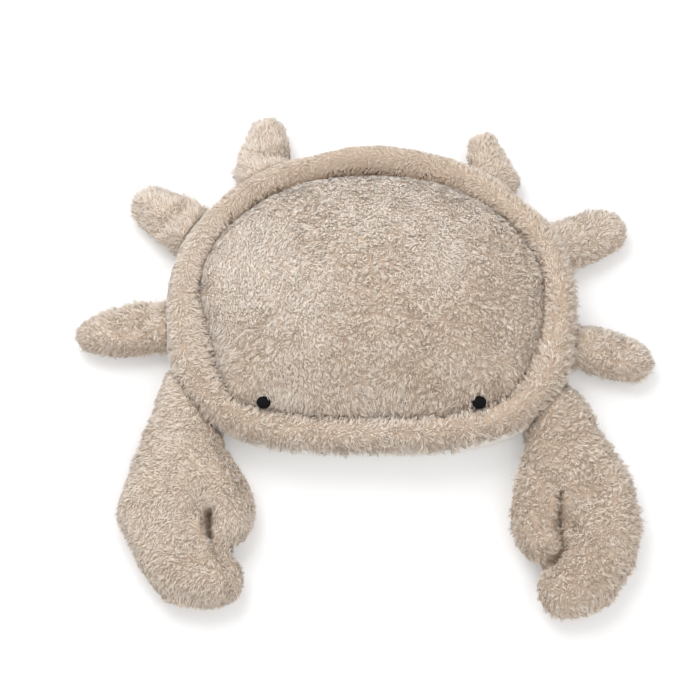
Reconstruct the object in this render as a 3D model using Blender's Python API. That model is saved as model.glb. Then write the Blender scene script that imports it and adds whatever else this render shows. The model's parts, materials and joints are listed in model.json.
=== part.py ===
"""Plush crab, lying on its belly: a stuffed shell with a padded rim, two claws, six legs and two stitched eyes.

Every soft part is sewn from flat pieces and stuffed, so each is a set of cloth panels around a filling.
The face looks along -Y. Left is -X and right is +X, as someone in front of the face sees them.
"""

import math

import bpy
from mathutils import Vector
from mathutils.geometry import delaunay_2d_cdt

MM = 0.001

# Shell: a flattened dome with a padded rim around it
SHELL_WIDTH = 334 * MM
SHELL_DEPTH = 264 * MM
BACK_ROUNDNESS = 2.0
FRONT_ROUNDNESS = 2.95
DOME_HEIGHT = 78 * MM
GROOVE_HEIGHT = 41 * MM
RIM_WIDTH = 28 * MM
RIM_CREST_HEIGHT = 48 * MM
RIM_CREST_INSET = 13 * MM
EDGE_SEAM_HEIGHT = 30 * MM
EDGE_SEAM_INSET = 3 * MM
WAIST_HEIGHT = 21 * MM
BELLY_TURN_WIDTH = 38 * MM

# Cloth
FUR_THICKNESS = 4.5 * MM
BELLY_CLOTH_THICKNESS = 1.5 * MM
SEAM_GAP = 0.3 * MM

# Legs, with how deep the root is tucked under the rim
LEG_REACH = 60 * MM
LEG_WIDTH = 44 * MM
LEG_THICKNESS = 27 * MM
LEG_FLOOR_HEIGHT = 12 * MM
ROOT_TUCK = 12 * MM
ROOT_LENGTH = 36 * MM

# Claws
CLAW_WIDTH = 110 * MM
CLAW_LENGTH = 167 * MM
CLAW_THICKNESS = 36 * MM
CLAW_SEAM_HEIGHT = 15 * MM
CLAW_EDGE_ROUNDING = 27 * MM
CLAW_SHOULDER_ANGLE = 31.0

# Eyes: patches of black thread on the seam between dome and rim
EYE_DIAMETER = 11.5 * MM
EYE_THICKNESS = 8 * MM
EYE_SPACING = 169 * MM
EYE_RISE = 5 * MM
EYE_INSET = 1.5 * MM
EYE_LEAN = 20.0

# Fineness of the faceted surfaces
SHELL_SEGMENTS = 60
LEG_STEP = 8.5 * MM
CLAW_STEP = 9.5 * MM

# Each leg: angle of its hip round the shell and its heading, then in hundredths of LEG_REACH its reach
# past the rim, and in hundredths of LEG_WIDTH its widths at hip, middle and tip and its bend sideways
LEGS = {
    "left_rear_leg": (129.0, 83.0, 93, (112, 98, 75), 2),
    "left_middle_leg": (157.0, 145.0, 97, (106, 106, 88), 4),
    "left_front_leg": (187.0, 188.0, 123, (98, 108, 72), -4),
    "right_rear_leg": (44.0, 107.0, 86, (96, 85, 70), -4),
    "right_middle_leg": (17.5, 22.0, 100, (100, 102, 93), -4),
    "right_front_leg": (-12.5, -15.0, 107, (92, 100, 86), -3),
}

# Each claw: its width and length in hundredths of CLAW_WIDTH and CLAW_LENGTH, and its sewing pattern in
# hundredths of its own width and length, from the shoulder. The pattern starts at the outer side, goes
# round the big finger, up the slot and back round the thumb. The stuffing all but closes the slot.
CLAWS = {
    "left_claw": (
        104,
        98,
        [
            (-9, 21), (-20, 9), (-27, -11), (-39, -27), (-46, -44), (-49, -57), (-39, -70), (-28, -84),
            (-15, -95), (4, -99), (22, -100), (37, -96), (44, -90), (43, -80), (40, -76), (33, -72),
            (24, -68), (20, -62), (17, -55), (18, -48), (21, -58), (25, -65), (33, -69), (42, -69),
            (48, -62), (51, -49), (47, -39), (39, -29), (29, -20), (25, -2), (24, 15), (6, 28),
        ],
    ),
    "right_claw": (
        95,
        103,
        [
            (6, 12), (20, 6), (28, -2), (37, -12), (49, -24), (58, -35), (62, -47), (62, -57),
            (57, -72), (46, -86), (33, -94), (16, -98), (0, -100), (-12, -97), (-20, -91), (-21, -84),
            (-18, -79), (-11, -76), (-4, -73), (3, -67), (5, -60), (2, -51), (1, -59), (0, -65),
            (-6, -71), (-14, -74), (-21, -75), (-29, -72), (-35, -65), (-38, -53), (-36, -41),
            (-31, -30), (-26, -21), (-25, -10), (-24, 12), (-7, 27),
        ],
    ),
}

FUR_COLOR = (0.60, 0.49, 0.39)
BELLY_COLOR = (0.85, 0.82, 0.76)
STUFFING_COLOR = (0.92, 0.91, 0.88)
THREAD_COLOR = (0.008, 0.008, 0.010)


def clear_scene():
    for obj in list(bpy.data.objects):
        bpy.data.objects.remove(obj)


def make_material(name, color, roughness):
    material = bpy.data.materials.new(name)
    material.use_nodes = True
    shader = material.node_tree.nodes["Principled BSDF"]
    shader.inputs["Base Color"].default_value = (*color, 1.0)
    shader.inputs["Roughness"].default_value = roughness
    shader.inputs["Metallic"].default_value = 0.0
    return material


def add_object(name, points, faces, material, smooth_angle=50.0):
    mesh = bpy.data.meshes.new(name)
    mesh.from_pydata(points, [], faces)
    mesh.validate()
    obj = bpy.data.objects.new(name, mesh)
    bpy.context.scene.collection.objects.link(obj)
    if material:
        mesh.materials.append(material)
    mesh.shade_smooth()
    mesh.set_sharp_from_angle(angle=math.radians(smooth_angle))
    return obj


# Shell outline and sections


def power_of(value, exponent):
    return math.copysign(abs(value) ** exponent, value)


def shell_edge(turn, inset=0.0, scale=1.0):
    """A point of the shell's outline, drawn in by inset and then scaled about the middle."""
    roundness = BACK_ROUNDNESS if math.sin(turn) >= 0 else FRONT_ROUNDNESS
    x = (SHELL_WIDTH / 2 - inset) * power_of(math.cos(turn), 2 / roundness)
    y = (SHELL_DEPTH / 2 - inset) * power_of(math.sin(turn), 2 / roundness)
    return x * scale, y * scale


def shell_edge_towards(degrees):
    """The outline's point that lies in this direction from the shell's middle."""
    aim = Vector((math.cos(math.radians(degrees)), math.sin(math.radians(degrees))))
    roundness = BACK_ROUNDNESS if aim.y >= 0 else FRONT_ROUNDNESS
    share_x = abs(aim.x) / (SHELL_WIDTH / 2)
    share_y = abs(aim.y) / (SHELL_DEPTH / 2)
    reach = (share_x**roundness + share_y**roundness) ** (-1 / roundness)
    return aim * reach


def shell_outward(point):
    """The direction straight out of the outline at one of its points."""
    roundness = BACK_ROUNDNESS if point.y >= 0 else FRONT_ROUNDNESS
    x = power_of(point.x / (SHELL_WIDTH / 2), roundness - 1) / SHELL_WIDTH
    y = power_of(point.y / (SHELL_DEPTH / 2), roundness - 1) / SHELL_DEPTH
    return Vector((x, y)).normalized()


def belly_stations(depth, steps=5):
    """(inset, height, scale) from the floor, round the widest place and in to the edge seam.

    The depth is how far the line lies inside the outer face. Each station is drawn in by its inset.
    """
    last_turn = math.acos(1 - EDGE_SEAM_INSET / BELLY_TURN_WIDTH)
    upper_rise = (EDGE_SEAM_HEIGHT - WAIST_HEIGHT) / math.sin(last_turn)
    turns = [-math.pi / 2 * (1 - i / steps) for i in range(steps + 1)]
    turns += [last_turn / 2, last_turn]
    stations = []
    for turn in turns:
        rise = upper_rise if turn > 0 else WAIST_HEIGHT
        inset = BELLY_TURN_WIDTH - (BELLY_TURN_WIDTH - depth) * math.cos(turn)
        stations.append((inset, WAIST_HEIGHT + (rise - depth) * math.sin(turn), 1.0))
    return stations


def rim_stations(depth, rise_steps=4, fall_steps=3):
    """From the edge seam over the crest and down into the groove."""
    rise = RIM_CREST_HEIGHT - EDGE_SEAM_HEIGHT
    stations = []
    for i in range(rise_steps + 1):
        turn = math.radians(90 * i / rise_steps)
        inset = RIM_CREST_INSET - (RIM_CREST_INSET - EDGE_SEAM_INSET - depth) * math.cos(turn)
        stations.append((inset, EDGE_SEAM_HEIGHT + (rise - depth) * math.sin(turn), 1.0))
    for i in range(1, fall_steps + 1):
        part = i / fall_steps
        inset = RIM_CREST_INSET + (RIM_WIDTH - RIM_CREST_INSET) * part
        fall = (RIM_CREST_HEIGHT - GROOVE_HEIGHT) * part**2
        stations.append((inset, RIM_CREST_HEIGHT - fall - depth, 1.0))
    return stations


def dome_stations(depth, scales=(1.0, 0.96, 0.88, 0.74, 0.54, 0.3, 0.1)):
    """From the groove up to the small flat top. The dome is steep at its seam and nearly flat on top."""
    rise = DOME_HEIGHT - GROOVE_HEIGHT
    stations = []
    for scale in scales:
        height = GROOVE_HEIGHT + rise * (1 - scale**2.2) ** 0.75
        stations.append((RIM_WIDTH, height - depth, scale))
    return stations


def nudged(stations, inset=0.0, height=0.0):
    return [(i + inset, h + height, s) for i, h, s in stations]


def loft_rings(stations, closed=False):
    """Points and faces of the rings at these stations. The stations run so that the outside is on their right."""
    points = []
    for inset, height, scale in stations:
        for k in range(SHELL_SEGMENTS):
            x, y = shell_edge(2 * math.pi * k / SHELL_SEGMENTS, inset, scale)
            points.append((x, y, height))
    faces = []
    count = len(stations)
    for r in range(count if closed else count - 1):
        low = r * SHELL_SEGMENTS
        high = (r + 1) % count * SHELL_SEGMENTS
        for k in range(SHELL_SEGMENTS):
            after = (k + 1) % SHELL_SEGMENTS
            faces.append((low + k, low + after, high + after, high + k))
    if not closed:
        faces.append(tuple(reversed(range(SHELL_SEGMENTS))))
        faces.append(tuple(range((count - 1) * SHELL_SEGMENTS, count * SHELL_SEGMENTS)))
    return points, faces


def build_shell(fur, cloth, filling):
    half_gap = SEAM_GAP / 2
    outer = nudged(dome_stations(0.0), inset=half_gap)
    inner = nudged(dome_stations(FUR_THICKNESS), inset=half_gap)
    add_object("shell_top_panel", *loft_rings(inner[::-1] + outer), fur)

    outer = rim_stations(0.0)
    outer[0] = (outer[0][0], outer[0][1] + half_gap, 1.0)
    outer[-1] = (outer[-1][0] - half_gap, *outer[-1][1:])
    inner = rim_stations(FUR_THICKNESS)
    inner[0] = (inner[0][0], inner[0][1] + half_gap, 1.0)
    inner[-1] = (inner[-1][0] - half_gap, *inner[-1][1:])
    add_object("shell_rim_panel", *loft_rings(outer + inner[::-1], closed=True), fur)

    outer = belly_stations(0.0)
    outer[-1] = (outer[-1][0], outer[-1][1] - half_gap, 1.0)
    inner = belly_stations(BELLY_CLOTH_THICKNESS)
    inner[-1] = (inner[-1][0], inner[-1][1] - half_gap, 1.0)
    points, faces = loft_rings(outer + inner[::-1])
    add_object("belly_panel", points, faces, cloth)

    below = belly_stations(BELLY_CLOTH_THICKNESS + SEAM_GAP)[:-1]
    above = rim_stations(FUR_THICKNESS + SEAM_GAP)
    middle = dome_stations(FUR_THICKNESS + SEAM_GAP)[1:]
    add_object("shell_stuffing", *loft_rings(below + above + middle), filling)


def shell_room():
    """A cutter that takes away whatever would lie inside the shell, or further under it than a tucked root."""
    side = [s for s in belly_stations(-SEAM_GAP, steps=10) if s[0] < ROOT_TUCK]
    start = math.acos((BELLY_TURN_WIDTH - ROOT_TUCK) / (BELLY_TURN_WIDTH + SEAM_GAP))
    tuck_height = WAIST_HEIGHT - (WAIST_HEIGHT + SEAM_GAP) * math.sin(start)
    floor = [(ROOT_TUCK, -RIM_CREST_HEIGHT, 1.0), (ROOT_TUCK, tuck_height, 1.0)]
    above = rim_stations(-SEAM_GAP)[1:] + dome_stations(-SEAM_GAP)[1:]
    return loft_rings(floor + side + above)


def add_cutter(name, points, faces):
    obj = add_object(name, points, faces, None)
    obj.hide_render = True
    obj.display_type = "WIRE"
    return obj


def cut_away(obj, cutter):
    modifier = obj.modifiers.new("clear_of_shell", "BOOLEAN")
    modifier.operation = "DIFFERENCE"
    modifier.object = cutter


# Limbs: a flat outline, filled to a pillow


def smooth_outline(points, pieces=4):
    """A closed curve through the points, as a Catmull-Rom spline."""
    count = len(points)
    curve = []
    for i in range(count):
        before, start, end, after = (Vector(points[(i + k) % count]) for k in (-1, 0, 1, 2))
        for step in range(pieces):
            t = step / pieces
            curve.append(
                0.5
                * (
                    2 * start
                    + (end - before) * t
                    + (2 * before - 5 * start + 4 * end - after) * t**2
                    + (3 * start - before - 3 * end + after) * t**3
                )
            )
    return curve


def spaced_along(curve, step):
    """The closed curve again, with points about step apart and closer where it turns sharply."""
    kept = [curve[0]]
    for i in range(1, len(curve)):
        gap = (curve[i] - kept[-1]).length
        before, after = curve[i] - kept[-1], curve[(i + 1) % len(curve)] - curve[i]
        sharp = before.length > 0 and after.length > 0 and before.angle(after, 0.0) > 0.3
        if gap > step or (sharp and gap > step / 3):
            kept.append(curve[i])
    if (kept[-1] - kept[0]).length < step / 3:
        kept.pop()
    return kept


def area_of(outline):
    return sum(a.x * b.y - b.x * a.y for a, b in zip(outline, outline[1:] + outline[:1])) / 2


def distance_to(outline, point):
    nearest = math.inf
    for a, b in zip(outline, outline[1:] + outline[:1]):
        along = b - a
        share = max(0.0, min(1.0, (point - a).dot(along) / along.length_squared))
        nearest = min(nearest, (point - a - along * share).length)
    return nearest


def inside(outline, point):
    found = False
    for a, b in zip(outline, outline[1:] + outline[:1]):
        if (a.y > point.y) != (b.y > point.y):
            if point.x < a.x + (point.y - a.y) / (b.y - a.y) * (b.x - a.x):
                found = not found
    return found


def triangulated(outline, step):
    """The outline's points followed by points inside it, and the triangles between them."""
    rows = [p.y for p in outline]
    columns = [p.x for p in outline]
    points = list(outline)
    clear = 0.55 * step
    row = 0
    y = min(rows) + step / 2
    while y < max(rows):
        x = min(columns) + (step / 2 if row % 2 else 0.0)
        while x < max(columns):
            point = Vector((x, y))
            if inside(outline, point) and distance_to(outline, point) > clear:
                points.append(point)
            x += step
        y += step * math.sqrt(3) / 2
        row += 1
    corners = list(range(len(outline)))
    made = delaunay_2d_cdt(points, [], [corners], 1, 1e-7)
    return [Vector(p) for p in made[0]], [tuple(t) for t in made[2]]


def swelling(distance, rounding):
    """0 at the seam and 1 where the pillow is full, round in between."""
    part = min(distance / rounding, 1.0)
    return math.sqrt(1 - (1 - part) ** 2)


def inward(points, faces, rim, sign):
    """The unit directions out of a surface of triangles. Along its rim they lie flat."""
    normals = [Vector((0, 0, 0)) for _ in points]
    for a, b, c in faces:
        normal = (points[b] - points[a]).cross(points[c] - points[a]) * sign
        for i in (a, b, c):
            normals[i] += normal
    for i in rim:
        normals[i].z = 0.0
    return [n.normalized() for n in normals]


class Limb:
    """A stuffed limb: two fur panels that meet at a flat seam, and the filling inside them."""

    def __init__(self, outline, step, seam_height, thickness, rounding):
        if area_of(outline) < 0:
            outline = outline[::-1]
        flat, self.faces = triangulated(outline, step)
        self.rim = self.rim_of(self.faces)
        self.seam_height = seam_height
        deepest = max(distance_to(outline, p) for p in flat)
        self.top, self.bottom = [], []
        for i, p in enumerate(flat):
            away = 0.0 if i in set(self.rim) else distance_to(outline, p)
            crown = 0.7 * swelling(away, rounding) + 0.3 * swelling(away, deepest)
            flatness = swelling(away, 0.8 * rounding)
            rise = thickness - seam_height
            self.top.append(Vector((p.x, p.y, seam_height + rise * crown)))
            self.bottom.append(Vector((p.x, p.y, seam_height * (1 - flatness))))
        self.up = inward(self.top, self.faces, self.rim, 1)
        self.down = inward(self.bottom, self.faces, self.rim, -1)

    @staticmethod
    def rim_of(faces):
        """The border of the triangles as one loop of point numbers, counterclockwise."""
        edges = {(a, b) for t in faces for a, b in zip(t, t[1:] + t[:1])}
        after = {a: b for a, b in edges if (b, a) not in edges}
        loop = [next(iter(sorted(after)))]
        while after[loop[-1]] != loop[0]:
            loop.append(after[loop[-1]])
        return loop

    def panel(self, points, directions, lift, upward):
        """One cloth panel: the outer face, the inner face and the strip between them at the seam."""
        outer = [p + Vector((0, 0, lift)) for p in points]
        inner = [p - d * FUR_THICKNESS for p, d in zip(outer, directions)]
        for i in self.rim:
            inner[i].z = outer[i].z
        count = len(outer)
        out_faces = [t if upward else t[::-1] for t in self.faces]
        in_faces = [tuple(i + count for i in t[::-1]) for t in out_faces]
        strips = []
        for a, b in zip(self.rim, self.rim[1:] + self.rim[:1]):
            strip = (b, a, a + count, b + count)
            strips.append(strip if upward else strip[::-1])
        return outer + inner, out_faces + in_faces + strips

    def upper_panel(self):
        return self.panel(self.top, self.up, SEAM_GAP / 2, True)

    def lower_panel(self):
        low = [p.copy() for p in self.bottom]
        points, faces = self.panel(low, self.down, 0.0, False)
        seam = self.seam_height - SEAM_GAP / 2
        for i in self.rim:
            points[i].z = seam
            points[i + len(low)].z = seam
        return points, faces

    def filling(self):
        """The stuffing, clear of both panels by the seam gap. Its two faces share their border."""
        deep = FUR_THICKNESS + SEAM_GAP
        top = [p - d * deep for p, d in zip(self.top, self.up)]
        low = [p - d * deep for p, d in zip(self.bottom, self.down)]
        rim = set(self.rim)
        count = len(top)
        shared = [i if i in rim else i + count for i in range(count)]
        for i in rim:
            top[i].z = self.seam_height
        faces = list(self.faces) + [tuple(shared[i] for i in t[::-1]) for t in self.faces]
        used = sorted({i for face in faces for i in face})
        place = {old: new for new, old in enumerate(used)}
        points = top + low
        return [points[i] for i in used], [tuple(place[i] for i in f) for f in faces]


def add_limb(name, limb, fur, filling, room):
    for part, shape, material in (
        ("upper_panel", limb.upper_panel(), fur),
        ("lower_panel", limb.lower_panel(), fur),
        ("stuffing", limb.filling(), filling),
    ):
        cut_away(add_object(f"{name}_{part}", *shape, material), room)


def leg_outline(hip_angle, heading, reach, widths, bend):
    """The outline of a leg: a root square to the shell, two long sides, and a rounded tip."""
    hip = shell_edge_towards(hip_angle)
    inwards = -shell_outward(hip)
    along = Vector((math.cos(math.radians(heading)), math.sin(math.radians(heading))))
    across = Vector((-along.y, along.x))
    hip_width, middle_width, tip_width = widths

    def place(distance, side):
        part = distance / reach
        return hip + along * distance + across * (side + bend * max(part, 0.0) ** 2)

    round_start = reach - 0.4 * tip_width
    right = [
        place(0.0, -hip_width / 2) + inwards * ROOT_LENGTH,
        place(0.0, -hip_width / 2) + inwards * ROOT_LENGTH / 2,
        place(0.0, -hip_width / 2),
        place(0.45 * reach, -middle_width / 2),
        place(round_start, -tip_width / 2),
    ]
    left = [
        place(round_start, tip_width / 2),
        place(0.45 * reach, middle_width / 2),
        place(0.0, hip_width / 2),
        place(0.0, hip_width / 2) + inwards * ROOT_LENGTH / 2,
        place(0.0, hip_width / 2) + inwards * ROOT_LENGTH,
    ]
    tip = []
    for degrees in (-50, 0, 50):
        turn = math.radians(degrees)
        forward = round_start + (reach - round_start) * math.cos(turn)
        tip.append(place(forward, tip_width / 2 * math.sin(turn)))
    return right + tip + left


def build_legs(fur, filling, room):
    for name, (hip_angle, heading, reach, widths, bend) in LEGS.items():
        reach = reach * LEG_REACH / 100
        bend = bend * LEG_WIDTH / 100
        widths = [share * LEG_WIDTH / 100 for share in widths]
        corners = leg_outline(hip_angle, heading, reach, widths, bend)
        outline = spaced_along(smooth_outline(corners), LEG_STEP)
        rounding = 0.48 * min(widths)
        limb = Limb(outline, LEG_STEP, LEG_FLOOR_HEIGHT, LEG_THICKNESS, rounding)
        add_limb(name, limb, fur, filling, room)


def build_claws(fur, filling, room):
    for name, (width, length, pattern) in CLAWS.items():
        angle = 180 + CLAW_SHOULDER_ANGLE if name.startswith("left") else -CLAW_SHOULDER_ANGLE
        shoulder = shell_edge_towards(angle)
        width = width * CLAW_WIDTH / 100
        length = length * CLAW_LENGTH / 100
        corners = [shoulder + Vector((x * width, y * length)) / 100 for x, y in pattern]
        outline = spaced_along(smooth_outline(corners), CLAW_STEP)
        limb = Limb(outline, CLAW_STEP, CLAW_SEAM_HEIGHT, CLAW_THICKNESS, CLAW_EDGE_ROUNDING)
        add_limb(name, limb, fur, filling, room)


# Eyes


def thread_patch(sides=16, rings=6):
    """Points and faces of a flattened ball as wide as the eye, with its short way along Z."""
    points, faces = [(0, 0, -EYE_THICKNESS / 2)], []
    for r in range(1, rings):
        slope = math.pi * r / rings
        for k in range(sides):
            turn = 2 * math.pi * k / sides
            radius = EYE_DIAMETER / 2 * math.sin(slope)
            height = -EYE_THICKNESS / 2 * math.cos(slope)
            points.append((radius * math.cos(turn), radius * math.sin(turn), height))
    points.append((0, 0, EYE_THICKNESS / 2))
    top = len(points) - 1
    for k in range(sides):
        after = (k + 1) % sides
        faces.append((0, 1 + after, 1 + k))
        for r in range(rings - 2):
            low, high = 1 + r * sides, 1 + (r + 1) * sides
            faces.append((low + k, low + after, high + after, high + k))
        last = 1 + (rings - 2) * sides
        faces.append((last + k, last + after, top))
    return points, faces


def build_eyes(thread, room):
    half_width = SHELL_WIDTH / 2 - RIM_WIDTH
    half_depth = SHELL_DEPTH / 2 - RIM_WIDTH
    across = EYE_SPACING / 2
    forward = half_depth * (1 - (across / half_width) ** FRONT_ROUNDNESS) ** (1 / FRONT_ROUNDNESS)
    for name, side in (("left_eye", -1), ("right_eye", 1)):
        eye = add_object(name, *thread_patch(), thread)
        eye.location = (side * across, -forward + EYE_INSET, GROOVE_HEIGHT + EYE_RISE)
        eye.rotation_euler = (math.radians(EYE_LEAN), math.radians(side * EYE_LEAN / 3), 0.0)
        cut_away(eye, room)


def set_origin_under_the_middle():
    """Moves the whole crab so that the origin lies on the floor under the middle of its outline."""
    bpy.context.view_layer.update()
    shown = [o for o in bpy.data.objects if o.type == "MESH" and not o.hide_render]
    corners = [o.matrix_world @ v.co for o in shown for v in o.data.vertices]
    middle_x = (min(c.x for c in corners) + max(c.x for c in corners)) / 2
    middle_y = (min(c.y for c in corners) + max(c.y for c in corners)) / 2
    frame = bpy.data.objects.new("crab_frame", None)
    bpy.context.scene.collection.objects.link(frame)
    for obj in bpy.data.objects:
        if obj.type == "MESH":
            obj.parent = frame
    frame.location = (-middle_x, -middle_y, 0.0)


def main():
    clear_scene()
    fur = make_material("beige_fur", FUR_COLOR, 0.95)
    cloth = make_material("belly_cloth", BELLY_COLOR, 0.9)
    filling = make_material("stuffing", STUFFING_COLOR, 1.0)
    thread = make_material("black_thread", THREAD_COLOR, 0.6)
    build_shell(fur, cloth, filling)
    room = add_cutter("shell_room", *shell_room())
    build_claws(fur, filling, room)
    build_legs(fur, filling, room)
    build_eyes(thread, room)
    set_origin_under_the_middle()


main()
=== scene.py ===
"""Plush crab in shaggy beige fur: sewn and stuffed pieces, with every lock of the pile as a mesh.

Each stuffed piece is a skin of cloth. The pile grows on it as small locks, leaning the way the nap lies.
"""

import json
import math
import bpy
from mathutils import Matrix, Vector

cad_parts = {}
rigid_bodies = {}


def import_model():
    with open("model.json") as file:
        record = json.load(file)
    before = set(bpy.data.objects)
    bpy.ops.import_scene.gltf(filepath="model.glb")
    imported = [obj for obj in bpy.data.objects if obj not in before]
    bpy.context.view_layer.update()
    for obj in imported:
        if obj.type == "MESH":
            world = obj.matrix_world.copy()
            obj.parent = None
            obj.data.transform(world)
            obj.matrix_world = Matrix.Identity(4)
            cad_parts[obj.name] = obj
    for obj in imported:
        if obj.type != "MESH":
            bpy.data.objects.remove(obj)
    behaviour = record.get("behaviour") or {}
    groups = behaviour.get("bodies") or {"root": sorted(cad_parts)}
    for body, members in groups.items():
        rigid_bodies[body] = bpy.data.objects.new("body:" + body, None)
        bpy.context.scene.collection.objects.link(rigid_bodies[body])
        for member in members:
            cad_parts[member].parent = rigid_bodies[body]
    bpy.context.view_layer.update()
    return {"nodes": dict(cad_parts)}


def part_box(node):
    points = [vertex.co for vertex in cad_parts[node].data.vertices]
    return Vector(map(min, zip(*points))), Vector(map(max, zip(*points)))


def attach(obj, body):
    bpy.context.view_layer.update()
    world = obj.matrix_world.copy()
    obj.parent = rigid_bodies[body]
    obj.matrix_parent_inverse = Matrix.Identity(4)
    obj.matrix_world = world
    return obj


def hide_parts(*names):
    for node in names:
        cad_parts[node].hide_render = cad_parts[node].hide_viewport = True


bl_info = {
    "name": "Plush Crab",
    "version": (1, 0, 0),
    "blender": (4, 5, 0),
    "location": "View3D > Sidebar > Plush Crab",
    "description": "Builds a stuffed toy crab with fur pile, and a plain studio round it",
    "category": "Object",
}

from dataclasses import dataclass
from typing import Callable

import bmesh
import bpy
import numpy as np
from bpy.props import FloatProperty, FloatVectorProperty, IntProperty, PointerProperty
from mathutils import Vector, noise
from mathutils.kdtree import KDTree

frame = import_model()

MM = 0.001
BODY = "root"

BELLY_LOW, BELLY_HIGH = (Vector(corner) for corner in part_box("belly_panel"))
DOME_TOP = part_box("shell_top_panel")[1][2]
RIM_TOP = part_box("shell_rim_panel")[1][2]
SHELL_CENTRE = (BELLY_LOW + BELLY_HIGH) / 2
SHELL_HALF_WIDTH = (BELLY_HIGH.x - BELLY_LOW.x) / 2
SHELL_HALF_DEPTH = (BELLY_HIGH.y - BELLY_LOW.y) / 2
BACK_ROUNDNESS = 2.0
FRONT_ROUNDNESS = 2.95

# Where the ring seam wanders from its even line: direction and spread in degrees, inward shift in mm
SEAM_WANDER = ((197, 15, 8.3), (219.5, 6, -6.5), (340, 11, 2.8), (321, 6, -1.8), (90, 30, 1.5))

# The same for the shell's outline, which is drawn in where the legs are sewn on
EDGE_DRAWN = ((150, 24, 2.6), (112, 12, 1.6), (31, 8, 3.0))

# Directions in degrees where the belly cloth shows past the rim's pile, with their spread
BELLY_SHOWS = ((322, 18), (190, 14), (238, 9))

CLAWS = ("left_claw", "right_claw")
LEGS = tuple(f"{side}_{place}_leg" for side in ("left", "right") for place in ("rear", "middle", "front"))

# Folds pressed into the stuffed limbs: points in mm across the top, depth in mm and half-width in mm.
# A depth below zero is a bulge, and a fold deeper than DEEP_FOLD gets painted shade inside.
DEEP_FOLD = 5.0
FOLDS = {
    "left_claw": [
        ([(-118, -123), (-117, -145)], -14.0, 11.0),
        ([(-112, -152), (-107, -157)], -6.0, 9.0),
        ([(-121, -130), (-120, -149)], 22.0, 3.8),
        ([(-119, -152), (-113, -163), (-107, -173)], 5.0, 3.0),
    ],
    "right_claw": [
        ([(157, -128), (155, -145), (152, -156)], -12.0, 10.0),
        ([(154, -116), (153, -130), (153, -144), (155, -157), (151, -164), (145, -168)], 13.0, 3.6),
        ([(129, -113), (149, -111), (167, -108), (182, -102)], 2.0, 6.0),
        ([(152, -142), (165, -142)], 2.5, 5.0),
    ],
    "left_rear_leg": [([(-92, 171), (-77, 173), (-60, 174)], 4.0, 5.0)],
    "left_middle_leg": [([(-164, 112), (-153, 122), (-143, 130)], 4.0, 5.0)],
    "left_front_leg": [([(-182, 22), (-172, 35), (-166, 44)], 4.0, 5.0)],
}

# How rough each limb's pile is, from 0 to 1, and its tint, from 0, cool, to 1, warm
LIMB_LOOKS = {
    "left_claw": (0.32, 0.45),
    "right_claw": (0.85, 0.5),
    "left_rear_leg": (0.5, 0.2),
    "left_middle_leg": (0.6, 0.22),
    "left_front_leg": (0.7, 0.42),
    "right_rear_leg": (0.5, 0.5),
    "right_middle_leg": (0.65, 0.36),
    "right_front_leg": (0.75, 0.32),
}

# Directions in degrees of the rim's middle at the back and at the front, with their spread
BACK = (92, 52)
FRONT = (280, 60)

# The rim's curve starts at this angle in degrees, at the edge seam
RIM_START = -14

# The dome: how its rings are spaced, its smallest ring, how soon it curves and how full it is
RING_SPACING = 0.7
SMALLEST_RING = 0.004
DOME_BEND = 2.2
DOME_FULLNESS = 0.75

# Gathers round the belly's seam, and their height
GATHERS = 64
GATHER_HEIGHT = 0.5 * MM

# The eyes: their share of the space for them, and the height, number and slant of their strands
EYE_SHARE = 0.96
STRAND_HEIGHT = 0.035
STRANDS = 15
SLANT = (0.94, 0.34)

# Thickness of the shell's fur cloth and of the belly's cloth
CLOTH = 1.2 * MM
BELLY_CLOTH = 1.5 * MM

# A limb's cloth: how much higher in its pile it lies than the shell's, how far the filling may push it out,
# and the width over which it rises to where it is sewn on
LIMB_RAISE = 2.0 * MM
SWELL = 2.2 * MM
SEWN_WIDTH = 8 * MM

# How the limbs' skins are made even, stuffed under pressure, stretched and thinned
VOXEL = 2.0 * MM
PRESSURE = 4.0
STRETCH = 0.06
STUFFING_ROOM = 1.0 * MM
STUFFING_FRAMES = 20
FACES_KEPT = 0.45

# How far under the shell the limbs' pile still grows
PILE_UNDER_SHELL = 6 * MM

# Locks in a small tuft and in a large one, the share of long locks, and their depth in the cloth
SMALL_TUFT = 20
LARGE_TUFT = 130
GUARD_SHARE = 0.3
ROOT_DEPTH = 0.5 * MM

# Lengths over which the filling's lumps and the swirls of the pile change
LUMPS = (42 * MM, 17 * MM)
SWIRLS = (34 * MM, 11 * MM)

# Light that the floor gives off towards the camera alone
FLOOR_GLOW = 0.2


# Values that a user would change


def number_value(name, default, description, **kind):
    return FloatProperty(name=name, description=description, default=default, **kind)


def length_value(name, default, description):
    return number_value(name, default, description, unit="LENGTH")


def color_value(name, default, description):
    return FloatVectorProperty(name=name, description=description, default=default, subtype="COLOR")


def place_value(name, default, description):
    return FloatVectorProperty(name=name, description=description, default=default, subtype="TRANSLATION")


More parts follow.
